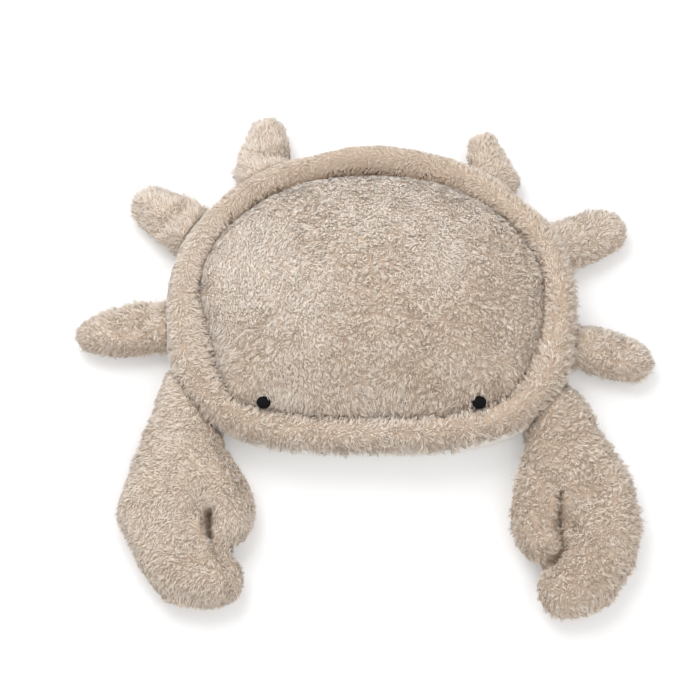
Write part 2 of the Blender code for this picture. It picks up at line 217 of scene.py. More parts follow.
class CrabSizes(bpy.types.PropertyGroup):
    rim_width: length_value("Rim width", 28 * MM, "Width of the padded rim round the dome")
    crest_inset: length_value("Crest inset", 13 * MM, "How far the rim's top line lies inside the edge")
    groove_height: length_value("Groove height", 41 * MM, "Height of the seam between the dome and the rim")
    edge_height: length_value("Edge seam height", 30 * MM, "Height of the seam between rim and belly")
    edge_inset: length_value("Edge seam inset", 3 * MM, "How far that seam lies inside the widest line")
    edge_depth: length_value("Edge depth", 0.8 * MM, "Depth of the rim's cloth in its pile at that seam")
    waist_height: length_value("Waist height", 21 * MM, "Height of the shell's widest line")
    belly_turn: length_value("Belly turn", 38 * MM, "Width over which the belly curves up from the floor")
    seam_dip: length_value("Seam dip", 2.9 * MM, "How deep the ring seam pulls the cloth in")
    belly_tuck: length_value("Belly tuck", 2.4 * MM, "How far the belly is drawn in under the rim's pile")
    slot_closing: length_value("Slot closing", 2.4 * MM, "How far the filling pushes in a claw slot's walls")
    lump_height: length_value("Lump height", 1.6 * MM, "How far the filling pushes the cloth out unevenly")


class PileSettings(bpy.types.PropertyGroup):
    skin_depth: length_value("Skin depth", 3.2 * MM, "How far the cloth lies under the pile's outer face")
    length: length_value("Pile length", 6.4 * MM, "Length of a lock of the pile")
    width: length_value("Lock width", 0.74 * MM, "Width of a lock at its root")
    lean: number_value("Lean", math.radians(46), "How far the locks lean from upright", subtype="ANGLE")
    curl: number_value("Curl", math.radians(55), "How far a lock's tip turns sideways", subtype="ANGLE")
    gather: number_value("Gather", 0.62, "How far a tuft's locks draw together", subtype="FACTOR")
    softness: number_value("Softness", 0.8, "How evenly the pile takes the light", subtype="FACTOR")
    dome_density: number_value("Dome density", 1.1e6, "Locks on a square metre of the dome")
    rim_density: number_value("Rim density", 0.9e6, "Locks on a square metre of the rim")
    limb_density: number_value("Limb density", 1.0e6, "Locks on a square metre of the claws and legs")
    seed: IntProperty(name="Seed", description="Start of the random numbers", default=11)


class CrabColors(bpy.types.PropertyGroup):
    root: color_value("Pile root", (0.58, 0.45, 0.345), "Colour of the pile at the cloth")
    pile_cool: color_value("Pile, cool", (0.995, 0.89, 0.79), "Colour of the greyer locks")
    pile_warm: color_value("Pile, warm", (0.91, 0.745, 0.585), "Colour of the warmer locks")
    tip: color_value("Pile tip", (0.99, 0.89, 0.79), "Colour of the pile at its tips")
    belly: color_value("Belly cloth", (0.92, 0.89, 0.84), "Colour of the smooth cloth under the shell")
    thread: color_value("Eye thread", (0.0025, 0.0025, 0.003), "Colour of the eyes")
    floor: color_value("Floor", (0.80, 0.80, 0.80), "Colour of the studio floor")


class StageSettings(bpy.types.PropertyGroup):
    elevation: number_value(
        "Elevation", math.radians(72), "Height of the camera above the horizon", subtype="ANGLE"
    )
    distance: length_value("Distance", 1.5, "Distance from the camera to its target")
    lens: number_value("Lens", 96.4, "Focal length in millimetres")
    target: place_value(
        "Target",
        (SHELL_CENTRE.x - 0.0168, SHELL_CENTRE.y - 0.0454, 0.030),
        "The point in the middle of the picture",
    )
    key_place: place_value("Key place", (-0.5, 0.8, 1.4), "Where the larger light stands, behind on the left")
    key_width: length_value("Key width", 1.0, "Width of that light")
    key_power: number_value("Key power", 12.5, "Its power in watts")
    fill_place: place_value("Fill place", (0.8, -0.9, 1.6), "Where the softer light stands, in front")
    fill_width: length_value("Fill width", 1.8, "Width of that light")
    fill_power: number_value("Fill power", 7.0, "Its power in watts")
    sky: number_value("Sky", 0.77, "Level of the light from all round")


# Shader maths


class Wire:
    """A number in a shader. Python's operators on it add the Math nodes."""

    def __init__(self, graph, socket):
        self.graph = graph
        self.socket = socket

    def math(self, operation, first, second):
        return self.graph.node("ShaderNodeMath", {"operation": operation}, first, second)[0]

    def __add__(self, other):
        return self.math("ADD", self, other)

    def __mul__(self, other):
        return self.math("MULTIPLY", self, other)

    __radd__ = __add__
    __rmul__ = __mul__


class Graph:
    """The nodes of a material or of the world, with the shader they end in."""

    def __init__(self, owner, shader, **constants):
        owner.use_nodes = True
        self.owner = owner
        self.tree = owner.node_tree
        self.shader = self.tree.nodes[shader]
        for label, value in constants.items():
            self.shader.inputs[label.replace("_", " ")].default_value = value

    def node(self, kind, settings, *values, sockets=None, **named):
        """Adds a node, sets it up and fills its sockets by order, number or name. Its outputs come back."""
        made = self.tree.nodes.new(kind)
        for label, value in settings.items():
            setattr(made, label, value)
        for key, value in [*enumerate(values), *(sockets or {}).items(), *named.items()]:
            socket = made.inputs[key.replace("_", " ") if isinstance(key, str) else key]
            if isinstance(value, Wire):
                self.tree.links.new(value.socket, socket)
            else:
                socket.default_value = value
        return [Wire(self, socket) for socket in made.outputs]

    def mix(self, share, first, second):
        """The first colour where share is 0 and the second where it is 1."""
        first, second = (c if isinstance(c, Wire) else (*c[:3], 1.0) for c in (first, second))
        sockets = {0: share, 6: first, 7: second}
        return self.node("ShaderNodeMix", {"data_type": "RGBA"}, sockets=sockets)[2]

    def noise(self, scale, detail=2.0, roughness=0.5):
        place = self.node("ShaderNodeTexCoord", {})[3]
        values = {"Vector": place, "Scale": scale, "Detail": detail, "Roughness": roughness}
        return self.node("ShaderNodeTexNoise", {}, **values)[0]

    def steps(self, value, low, high):
        """0 where the value is under low, 1 where it is over high, smooth in between."""
        settings = {"interpolation_type": "SMOOTHSTEP"}
        return self.node("ShaderNodeMapRange", settings, value, low, high, 0.0, 1.0)[0]

    def bump(self, height, distance, strength=1.0):
        return self.node("ShaderNodeBump", {}, Strength=strength, Distance=distance, Height=height)[0]

    def where_seen(self, hidden, seen):
        """One value for what the camera sees, in metal or through glass too, and the other for the rest."""
        camera, _, _, glossy, _, _, transmission, *_ = self.node("ShaderNodeLightPath", {})
        shown = camera + glossy + transmission
        return self.node("ShaderNodeMapRange", {}, shown, 0.0, 1.0, hidden, seen)[0]

    def set(self, **wires):
        for label, wire in wires.items():
            self.tree.links.new(wire.socket, self.shader.inputs[label.replace("_", " ")])
        return self.owner


def new_surface(name, roughness, **constants):
    return Graph(bpy.data.materials.new(name), "Principled BSDF", Roughness=roughness, **constants)


def pile_material(colors):
    """Pile that is darker at its roots, as painted shade deep in the pile, most of all on warm, rough locks.
    The map gives its tint, and how far along the lock a place is.
    """
    graph = new_surface("beige_pile", 0.82, Sheen_Weight=0.25, Sheen_Roughness=0.5)
    place = graph.node("ShaderNodeUVMap", {"uv_map": "OFBake"})[0]
    tint, along, _ = graph.node("ShaderNodeSeparateXYZ", {}, place)
    body = graph.mix(tint, colors.pile_cool, colors.pile_warm)
    tipped = graph.mix(graph.steps(along, 0.4, 1.0) * 0.35, body, colors.tip)
    smooth_root = tuple((a + b) / 2 for a, b in zip(colors.pile_cool, colors.pile_warm))
    # Dark roots on warm, rough locks and light ones on smooth locks: painted shade deep in the pile and
    # between its tufts
    root = graph.mix(graph.steps(tint, 0.1, 0.5), smooth_root, colors.root)
    return graph.set(Base_Color=graph.mix(graph.steps(along, 0.0, 0.46), root, tipped))


def backing_material(colors):
    """The knitted cloth that the pile grows from."""
    graph = new_surface("fur_backing", 0.95)
    patches = graph.noise(260.0, 3.0)
    # The cloth takes the pile's root colour, which is darkened to paint the shade deep in the pile
    darker = tuple(0.88 * c for c in colors.root)
    color = graph.mix(graph.steps(patches, 0.35, 0.65), darker, colors.root)
    return graph.set(Base_Color=color, Normal=graph.bump(graph.noise(1400.0), 0.4 * MM))


def belly_material(colors):
    """Smooth short-napped cloth: faint patches where the nap is brushed, and a fine grain."""
    graph = new_surface("belly_cloth", 0.9, Sheen_Weight=0.3)
    brushed = graph.steps(graph.noise(45.0, 4.0, 0.6), 0.3, 0.7)
    shade = tuple(0.86 * c for c in colors.belly)
    color = graph.mix(brushed, shade, colors.belly)
    grain = graph.noise(1800.0, 3.0, 0.7) + graph.noise(500.0) * 0.5
    return graph.set(Base_Color=color, Normal=graph.bump(grain, 0.25 * MM, 0.7))


def thread_material(colors):
    """Black embroidery thread with a soft gloss along the stitches."""
    graph = new_surface("eye_thread", 0.7, Specular_IOR_Level=0.12)
    worn = graph.noise(900.0, 2.0)
    lighter = tuple(c + 0.006 for c in colors.thread)
    color = graph.mix(graph.steps(worn, 0.4, 0.8), colors.thread, lighter)
    return graph.set(Base_Color=color, Roughness=0.6 + worn * 0.25)


def material_named(scene, name):
    """The material of this name, made the first time it is asked for."""
    made = bpy.data.materials.get(name)
    if made:
        return made
    makers = {
        "beige_pile": pile_material,
        "fur_backing": backing_material,
        "belly_cloth": belly_material,
        "eye_thread": thread_material,
    }
    return makers[name](scene.crab_colors)


# Shell outline and sections


def shell_edge(turn, inset):
    """A place on the shell's outline, seen from its middle, or this far inside it."""
    roundness = BACK_ROUNDNESS if math.sin(turn) >= 0 else FRONT_ROUNDNESS
    across = math.copysign(abs(math.cos(turn)) ** (2 / roundness), math.cos(turn))
    ahead = math.copysign(abs(math.sin(turn)) ** (2 / roundness), math.sin(turn))
    return (SHELL_HALF_WIDTH - inset) * across, (SHELL_HALF_DEPTH - inset) * ahead


def shell_insets(points):
    """How far inside the shell's outline each point lies, in metres. It is negative outside."""
    x = np.abs(points[:, 0] - SHELL_CENTRE.x)
    y = points[:, 1] - SHELL_CENTRE.y
    found = np.empty(len(points))
    for back in (True, False):
        part = (y >= 0) == back
        roundness = BACK_ROUNDNESS if back else FRONT_ROUNDNESS
        low = np.full(part.sum(), -0.25)
        high = np.full(part.sum(), min(SHELL_HALF_WIDTH, SHELL_HALF_DEPTH) - 1e-4)
        for _ in range(24):
            middle = (low + high) / 2
            share = (x[part] / (SHELL_HALF_WIDTH - middle)) ** roundness
            share += (np.abs(y[part]) / (SHELL_HALF_DEPTH - middle)) ** roundness
            low = np.where(share < 1, middle, low)
            high = np.where(share < 1, high, middle)
        found[part] = low
    return found


def bell(degrees, middle, spread):
    """1 at the middle direction, falling to 0 on both sides."""
    away = (np.asarray(degrees) - middle + 180) % 360 - 180
    return np.exp(-((away / spread) ** 2))


def shift_at(degrees, shifts):
    """The inward shift in metres at this direction."""
    return sum(shift * MM * bell(degrees, middle, spread) for middle, spread, shift in shifts)


def belly_shows(degrees):
    """1 where the belly cloth shows past the rim's pile, and 0 elsewhere."""
    return np.max([bell(degrees, middle, spread) for middle, spread in BELLY_SHOWS], axis=0)


def rim_line(sizes, depth, rise=13, fall=14):
    """(inset, height, wander) from the edge seam over the crest and down into the groove."""
    line = []
    edge = sizes.edge_inset + min(depth, sizes.edge_depth)
    for i in range(rise + 1):
        turn = math.radians(RIM_START + (90 - RIM_START) * i / rise)
        inset = sizes.crest_inset - (sizes.crest_inset - edge) * math.cos(turn)
        height = sizes.edge_height + (RIM_TOP - sizes.edge_height - depth) * math.sin(turn)
        line.append((inset, height, 0.0))
    for i in range(1, fall + 1):
        part = i / fall
        inset = sizes.crest_inset + (sizes.rim_width - sizes.crest_inset) * part
        dip = sizes.seam_dip * max(0.0, (part - 0.6) / 0.4) ** 2
        drop = (RIM_TOP - sizes.groove_height) * part**2 + dip
        line.append((inset, RIM_TOP - drop - depth, part**2))
    return line


def dome_line(sizes, depth, steps=34):
    """(scale, height) from the groove up to the middle of the dome."""
    rise = DOME_TOP - sizes.groove_height
    line = []
    for i in range(steps + 1):
        scale = max(math.cos(math.radians(90 * i / steps)) ** RING_SPACING, SMALLEST_RING)
        dip = sizes.seam_dip * max(0.0, (scale - 0.94) / 0.06) ** 2
        height = sizes.groove_height + rise * (1 - scale**DOME_BEND) ** DOME_FULLNESS
        line.append((scale, height - depth - dip))
    return line


def belly_line(sizes, depth, steps=14, above=6):
    """(inset, height) from the floor, round the widest line and in to the edge seam."""
    last = math.acos(1 - sizes.edge_inset / sizes.belly_turn)
    upper = (sizes.edge_height - sizes.waist_height) / math.sin(last)
    line = []
    for i in range(steps + above + 1):
        turn = -math.pi / 2 * (1 - i / steps) if i <= steps else last * (i - steps) / above
        rise = upper if turn > 0 else sizes.waist_height
        inset = sizes.belly_turn - (sizes.belly_turn - depth) * math.cos(turn)
        line.append((inset, sizes.waist_height + (rise - depth) * math.sin(turn)))
    return line


def loft(name, rings, closed, segments=240):
    """A mesh through rings of (inset, scale, height, wander). A closed one joins its last to its first."""
    points = []
    for inset, scale, height, wander in rings:
        for k in range(segments):
            turn = 2 * math.pi * (k + 0.5) / segments
            x, y = shell_edge(turn, inset)
            degrees = math.degrees(math.atan2(y, x))
            shift = wander * shift_at(degrees, SEAM_WANDER) + (1 - wander) * shift_at(degrees, EDGE_DRAWN)
            x, y = shell_edge(turn, inset + float(shift))
            points.append((SHELL_CENTRE.x + x * scale, SHELL_CENTRE.y + y * scale, height))
    faces = []
    count = len(rings)
    for r in range(count if closed else count - 1):
        low, high = r * segments, (r + 1) % count * segments
        for k in range(segments):
            after = (k + 1) % segments
            faces.append((low + k, low + after, high + after, high + k))
    if not closed:
        faces.append(tuple(reversed(range(segments))))
        faces.append(tuple(range((count - 1) * segments, count * segments)))
    mesh = bpy.data.meshes.new(name)
    mesh.from_pydata(points, [], faces)
    mesh.update()
    return add_piece(name, mesh)


def add_piece(name, mesh):
    mesh.shade_smooth()
    piece = bpy.data.objects.new(name, mesh)
    bpy.context.scene.collection.objects.link(piece)
    return piece


def vectors_of(items, label):
    found = np.empty(len(items) * 3, np.float32)
    items.foreach_get(label, found)
    return found.reshape(-1, 3).astype(np.float64)


def points_of(mesh):
    return vectors_of(mesh.vertices, "co")


def normals_of(mesh):
    return vectors_of(mesh.vertex_normals, "vector")


def set_points(mesh, points):
    mesh.vertices.foreach_set("co", points.astype(np.float32).ravel())
    mesh.update()


def noise_at(points, scale, seed):
    """Smooth noise of about -1 to 1 that changes over this length."""
    shift = Vector((17.3 * seed, 5.1 * seed, 3.7 * seed))
    return np.array([noise.noise(Vector(p) / scale + shift) for p in points.tolist()])


def fill_unevenly(piece, height, seed):
    """Pushes the cloth out in soft lumps, as the filling does."""
    mesh = piece.data
    points, normals = points_of(mesh), normals_of(mesh)
    lumps = 0.65 * noise_at(points, LUMPS[0], seed) + 0.35 * noise_at(points, LUMPS[1], seed + 1)
    points += normals * (height * lumps)[:, None]
    points[:, 2] = np.maximum(points[:, 2], 0.0)
    set_points(mesh, points)


def near_line(points, line, half_width):
    """1 on a line drawn across the top in mm, falling to 0 beside it."""
    nearest = np.full(len(points), np.inf)
    for start, end in zip(line, line[1:]):
        a, b = np.array(start) * MM, np.array(end) * MM
        along = b - a
        share = ((points[:, :2] - a) @ along / (along @ along)).clip(0, 1)
        away = points[:, :2] - a - share[:, None] * along
        nearest = np.minimum(nearest, np.hypot(*away.T))
    return np.exp(-((nearest / (half_width * MM)) ** 2))


def press_folds(piece, folds):
    """Presses folds into the upper side of a limb, and no further than two thirds of its height."""
    mesh = piece.data
    points = points_of(mesh)
    upper = (2 * normals_of(mesh)[:, 2]).clip(0, 1)
    before = points[:, 2].copy()
    for line, depth, half_width in folds:
        points[:, 2] -= depth * MM * near_line(points, line, half_width) * upper
    points[:, 2] = np.maximum(points[:, 2], before / 3)
    set_points(mesh, points)


def deep_folds(name, points):
    """1 in the deep folds of a limb and 0 elsewhere."""
    folds = [(line, width) for line, depth, width in FOLDS.get(name, []) if depth > DEEP_FOLD]
    deep = [near_line(points, line, 1.05 * width) for line, width in folds]
    return np.max(deep, axis=0) if deep else np.zeros(len(points))


# Stuffed pieces


def stand_for(scene, piece, material, nodes):
    """Gives the piece its material, hides the CAD nodes it stands for and fixes it to the body."""
    piece.data.materials.append(material_named(scene, material))
    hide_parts(*nodes)
    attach(piece, BODY)


def make_shell_top(scene):
    sizes, pile = scene.crab_sizes, scene.crab_pile
    outer = [(sizes.rim_width, s, h, 1.0) for s, h in dome_line(sizes, pile.skin_depth)]
    inner = [(sizes.rim_width, s, h, 1.0) for s, h in dome_line(sizes, pile.skin_depth + CLOTH, 8)]
    piece = loft("shell_top", inner[::-1] + outer, closed=False)
    fill_unevenly(piece, sizes.lump_height, 3)
    nodes = ["shell_top_panel", "shell_stuffing"]
    stand_for(scene, piece, "fur_backing", nodes)


def make_shell_rim(scene):
    sizes, pile = scene.crab_sizes, scene.crab_pile
    outer = [(i, 1.0, h, w) for i, h, w in rim_line(sizes, pile.skin_depth)]
    inner = [(i + CLOTH * (1 - w), 1.0, h - CLOTH, w) for i, _, h, w in outer[::3]]
    piece = loft("shell_rim", outer + inner[::-1], closed=True)
    fill_unevenly(piece, 1.3 * sizes.lump_height, 7)
    stand_for(scene, piece, "fur_backing", ["shell_rim_panel"])


def make_belly(scene):
    sizes = scene.crab_sizes
    outer = [(i, 1.0, h, 0.0) for i, h in belly_line(sizes, 0.0)]
    inner = [(i, 1.0, h, 0.0) for i, h in belly_line(sizes, BELLY_CLOTH, 4)]
    piece = loft("belly", outer + inner[::-1], closed=False)
    pucker_belly(piece.data, sizes)
    stand_for(scene, piece, "belly_cloth", ["belly_panel"])


def pucker_belly(mesh, sizes):
    """Small gathers where the cloth is sewn to the rim, fading out below the widest line."""
    points, normals = points_of(mesh), normals_of(mesh)
    away = points[:, :2] - np.array(SHELL_CENTRE)[:2]
    turn = np.arctan2(away[:, 1], away[:, 0])
    near = ((points[:, 2] - 0.2 * sizes.waist_height) / sizes.waist_height).clip(0, 1)
    ripple = np.sin(GATHERS * turn + 3 * np.sin(9 * turn)) * (0.6 + 0.4 * np.sin(5 * turn + 1))
    points += normals * (GATHER_HEIGHT * near**2 * ripple)[:, None]
    tuck = sizes.belly_tuck * (1 - 0.3 * belly_shows(np.degrees(turn))) * near * (3 - 2 * near) * near
    points[:, :2] -= away / np.linalg.norm(away, axis=1)[:, None] * tuck[:, None]
    points[:, 2] = np.maximum(points[:, 2], 0.0)
    set_points(mesh, points)


def joined_mesh(name, nodes):
    """One mesh of several CAD nodes, where they are."""
    made = bmesh.new()
    for node in nodes:
        source = frame["nodes"][node]
        copy = source.data.copy()
        copy.transform(source.matrix_world)
        made.from_mesh(copy)
        bpy.data.meshes.remove(copy)
    mesh = bpy.data.meshes.new(name)
    made.to_mesh(mesh)
    made.free()
    return mesh


def apply_modifiers(piece):
    graph = bpy.context.evaluated_depsgraph_get()
    mesh = bpy.data.meshes.new_from_object(piece.evaluated_get(graph))
    old = piece.data
    piece.modifiers.clear()
    piece.data = mesh
    bpy.data.meshes.remove(old)
    mesh.shade_smooth()


def stuff(piece):
    """Fills the cloth under pressure and lets it swell no further than SWELL from where it was."""
    before, normals = points_of(piece.data), normals_of(piece.data)
    cloth = piece.modifiers.new("filling", "CLOTH")
    cloth.settings.use_pressure = True
    cloth.settings.uniform_pressure_force = PRESSURE
    cloth.settings.shrink_min = -STRETCH
    cloth.settings.quality = 4
    cloth.settings.effector_weights.gravity = 0.0
    cloth.collision_settings.use_collision = False
    for step in range(1, STUFFING_FRAMES + 1):
        bpy.context.scene.frame_set(step)
    apply_modifiers(piece)
    bpy.context.scene.frame_set(1)
    moved = points_of(piece.data) - before
    moved -= moved.mean(axis=0)
    reach = np.linalg.norm(moved, axis=1)
    swollen = (moved * normals).sum(axis=1) > 0
    most = np.where(swollen, SWELL, 0.2 * SWELL)
    moved *= np.minimum(1.0, most / np.maximum(reach, 1e-9))[:, None]
    set_points(piece.data, before + moved)


def modify(piece, kind, **settings):
    """Adds a modifier with these settings and applies it."""
    added = piece.modifiers.new(kind, kind)
    for label, value in settings.items():
        setattr(added, label, value)
    apply_modifiers(piece)


def remesh(piece):
    """Turns the piece into one closed skin of even faces."""
    modify(piece, "REMESH", mode="VOXEL", voxel_size=VOXEL)


def offset(piece, depth):
    """Draws the skin in along its normals. The depth is one number, or one for each point."""
    set_points(piece.data, points_of(piece.data) - normals_of(piece.data) * np.reshape(depth, (-1, 1)))


def make_limb(scene, name, seed):
    """A limb's skin: its panels and filling as one body, drawn in under the pile, stuffed and creased."""
    sizes, pile = scene.crab_sizes, scene.crab_pile
    nodes = [f"{name}_{part}" for part in ("upper_panel", "lower_panel", "stuffing")]
    piece = add_piece(name, joined_mesh(name, nodes))
    remesh(piece)
    if name in CLAWS:
        # The walls of the slot press on each other, so they meet
        offset(piece, -sizes.slot_closing)
        remesh(piece)
        offset(piece, sizes.slot_closing)
    modify(piece, "SMOOTH", factor=0.5, iterations=7)
    depth = pile.skin_depth - LIMB_RAISE
    free = (-shell_insets(points_of(piece.data)) / SEWN_WIDTH).clip(0, 1)
    offset(piece, (depth + STUFFING_ROOM) * free)
    stuff(piece)
    modify(piece, "SMOOTH", factor=0.5, iterations=3)
    fill_unevenly(piece, 0.8 * sizes.lump_height, seed)
    press_folds(piece, FOLDS.get(name, []))
    modify(piece, "DECIMATE", ratio=FACES_KEPT)
    points = points_of(piece.data)
    points[:, 2] = np.maximum(points[:, 2], 0.0)
    set_points(piece.data, points)
    stand_for(scene, piece, "fur_backing", nodes)


def make_eye(scene, name):
    """A patch of satin stitch: a flattened ball with a ridge for every strand of thread."""
    low, high = (Vector(corner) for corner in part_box(name))
    centre, half = (low + high) / 2, (high - low) / 2
    half *= EYE_SHARE
    rings, sides = 26, 48
    points = [(0.0, 0.0, -1.0)]
    for r in range(1, rings):
        slope = math.pi * r / rings
        for k in range(sides):
            turn = 2 * math.pi * k / sides
            width = math.sin(slope)
            points.append((width * math.cos(turn), width * math.sin(turn), -math.cos(slope)))
    points.append((0.0, 0.0, 1.0))
    shaped = []
    for x, y, z in points:
        across = x * SLANT[0] + y * SLANT[1]
        ridge = 1 + STRAND_HEIGHT * abs(math.sin(across * STRANDS))
        ridge += 0.02 * noise.noise(Vector((x, y, z)) * 3)
        shaped.append((half.x * x * ridge, half.y * y * ridge, half.z * z * ridge))
    faces = []
    last = 1 + (rings - 2) * sides
    for k in range(sides):
        after = (k + 1) % sides
        faces.append((0, 1 + after, 1 + k))
        for r in range(rings - 2):
            a, b = 1 + r * sides, 1 + (r + 1) * sides
            faces.append((a + k, a + after, b + after, b + k))
        faces.append((last + k, last + after, len(points) - 1))
    mesh = bpy.data.meshes.new(f"{name}_stitches")
    mesh.from_pydata([tuple(centre + Vector(p)) for p in shaped], [], faces)
    mesh.update()
    piece = add_piece(f"{name}_stitches", mesh)
    stand_for(scene, piece, "eye_thread", [name])


# Pile


def unit(vectors):
    return vectors / np.maximum(np.linalg.norm(vectors, axis=1), 1e-12)[:, None]


def turned(vectors, axes, angles):
    """The vectors turned about the axes, which stand square to them."""
    cos, sin = np.cos(angles)[:, None], np.sin(angles)[:, None]
    return vectors * cos + np.cross(axes, vectors) * sin


def scattered(mesh, density, rng):
    """Roots spread over the mesh: their places and the cloth's normals there."""
    mesh.calc_loop_triangles()
    corners = np.empty(len(mesh.loop_triangles) * 3, np.int32)
    mesh.loop_triangles.foreach_get("vertices", corners)
    corners = corners.reshape(-1, 3)
    points, normals = points_of(mesh)[corners], normals_of(mesh)[corners]
    facing = np.cross(points[:, 1] - points[:, 0], points[:, 2] - points[:, 0])
    area = np.linalg.norm(facing, axis=1) / 2
    wanted = area * density(points.mean(axis=1), unit(facing))
    reached = np.cumsum(wanted)
    count = int(reached[-1])
    picks = (np.arange(count) + rng.random(count)) / count * reached[-1]
    chosen = np.searchsorted(reached, picks).clip(0, len(area) - 1)
    a, b = np.sqrt(rng.random(count)), rng.random(count)
    weights = np.stack([1 - a, a * (1 - b), a * b], axis=1)[:, :, None]
    return (points[chosen] * weights).sum(axis=1), unit((normals[chosen] * weights).sum(axis=1))


def tufts_of(roots, size, rng):
    """The number of the tuft that each lock belongs to, and each tuft's middle."""
    middles = rng.permutation(len(roots))[: max(1, len(roots) // size)]
    tree = KDTree(len(middles))
    for i, index in enumerate(middles.tolist()):
        tree.insert(roots[index], i)
    tree.balance()
    owner = np.array([tree.find(p)[1] for p in roots.tolist()])
    return owner, roots[middles]


@dataclass
class Coat:
    """How the pile lies on one piece.

    Its functions give a value for each place on the skin. Density is in locks on a square metre. Rough runs
    from 0, brushed smooth, to 1, shaggy. Tint runs from 0, cool, to 1, warm. Painted shade runs from 0, with
    light tips, to 1, as dark as the roots: shade painted into the pile. Length is a share of the pile's own.
    """

    skin: bpy.types.Object
    nap: Callable
    density: Callable
    rough: Callable
    tint: Callable
    painted_shade: Callable
    length: Callable
    seed: int


def varied(rng, tufts, spreads, spread_each):
    """Random numbers of the locks, shared in part within each kind of tuft."""
    found = rng.normal(0, spread_each, len(tufts[0][0]))
    for (owner, middles), spread in zip(tufts, spreads):
        found = found + rng.normal(0, spread, len(middles))[owner]
    return found


def flow_on(coat, seed, roots, normals, rough, spread):
    """The way each lock leans along the cloth: with the nap, turned aside in swirls."""
    flow = coat.nap(roots, normals)
    flow = unit(flow - normals * (flow * normals).sum(axis=1)[:, None])
    swirl = 0.9 * noise_at(roots, SWIRLS[0], seed) + 0.9 * noise_at(roots, SWIRLS[1], 2)
    return turned(flow, normals, (0.45 + 0.9 * rough) * (swirl + spread))


def ring_at(centre, first, sideways, roll, radius):
    """The three corners of each lock's section at this place."""
    corners = []
    for k in range(3):
        angle = roll + 2 * math.pi * k / 3
        away = sideways * np.cos(angle)[:, None] + np.cross(first, sideways) * np.sin(angle)[:, None]
        corners.append(centre + away * radius[:, None])
    return np.stack(corners, axis=1)


def grow_pile(scene, name, coat):
    """Grows the pile of one piece as a mesh of curved guard locks over short straight ones."""
    pile = scene.crab_pile
    seed = pile.seed + coat.seed
    rng = np.random.default_rng(seed)
    roots, normals = scattered(coat.skin.data, coat.density, rng)
    count = len(roots)
    rough = coat.rough(roots)
    tufts = [tufts_of(roots, size, rng) for size in (SMALL_TUFT, LARGE_TUFT)]
    from_small, from_large = (roots - middles[owner] for owner, middles in tufts)
    flow = flow_on(coat, seed, roots, normals, rough, varied(rng, tufts, (0.5, 0.4), 0.2))
    sideways = np.cross(normals, flow)

    # Length, lean and curl of each lock
    border = (np.linalg.norm(from_small, axis=1) / (1.3 * MM) - 0.8).clip(0, 1) * rough
    guard = rng.random(count) < GUARD_SHARE
    unrest = 0.4 + 0.8 * rough
    length = pile.length * (1 + unrest * varied(rng, tufts, (0.07, 0.09), 0.12)).clip(0.6, 1.5)
    length *= (0.86 + 0.24 * rough) * (1 - 0.35 * border) * np.where(guard, 1.0, 0.78)
    length *= coat.length(roots, normals)
    lean = pile.lean + (0.5 - rough) * np.where(rough < 0.5, 0.9, 0.4) + 0.25 * noise_at(roots, 22 * MM, 5)
    lean += unrest * varied(rng, tufts, (0.14, 0.12), 0.12)
    lean = (lean + 0.25 * (1 - np.abs(normals[:, 2]))).clip(0.1, 1.4)
    curl = rng.normal(0, pile.curl, count) * (0.35 + 0.85 * rough)

    def heading(share, twist):
        """The way the locks point at this share of their lean."""
        forward = turned(flow, normals, twist)
        return normals * np.cos(share * lean)[:, None] + forward * np.sin(share * lean)[:, None]

    # The line of each lock, drawn towards its tuft's middle
    gather = (pile.gather * (0.1 + 1.05 * rough))[:, None]
    drawn = gather * (0.75 * from_small + 0.15 * from_large)
    start = roots - ROOT_DEPTH * normals
    first = heading(0.62, 0 * curl)
    middle = start + first * (0.56 * length)[:, None] - 0.4 * drawn
    tip = middle + heading(1.25, curl) * (0.44 * length)[:, None] - 0.6 * drawn
    for points in (start, middle, tip):
        points[:, 2] = np.maximum(points[:, 2], ROOT_DEPTH)

    # Width, colour and softness
    radius = pile.width * rng.normal(1, 0.15, count).clip(0.6, 1.5) / 2
    roll = rng.random(count) * 2 * math.pi
    # Locks at the borders of rough tufts are warmer and keep their root colour further up, and so do locks in
    # painted shade: painted shade in the cracks between tufts, in the folds and on the rim's back
    shade = coat.tint(roots) + 0.12 * noise_at(roots, 40 * MM, 9) + 0.1 * border
    shade = (shade + varied(rng, tufts, (0.04, 0.03), 0.02)).clip(0.02, 0.96)
    reach = (1 - 0.45 * border) * (1 - 0.9 * coat.painted_shade(roots))
    soft = (pile.softness + 0.3 * (0.5 - rough)).clip(0, 1)

    low = ring_at(start, first, sideways, roll, radius)
    high = ring_at(middle, first, sideways, roll, 0.95 * radius)
    kinds = []
    for bent in (True, False):
        part = guard == bent
        rings = [low[part], high[part]] if bent else [low[part]]
        kinds.append((rings, tip[part], shade[part], reach[part], soft[part], normals[part]))
    mesh = locks_mesh(name, kinds)
    fur = add_piece(name, mesh)
    mesh.materials.append(material_named(scene, "beige_pile"))
    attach(fur, BODY)
    return fur


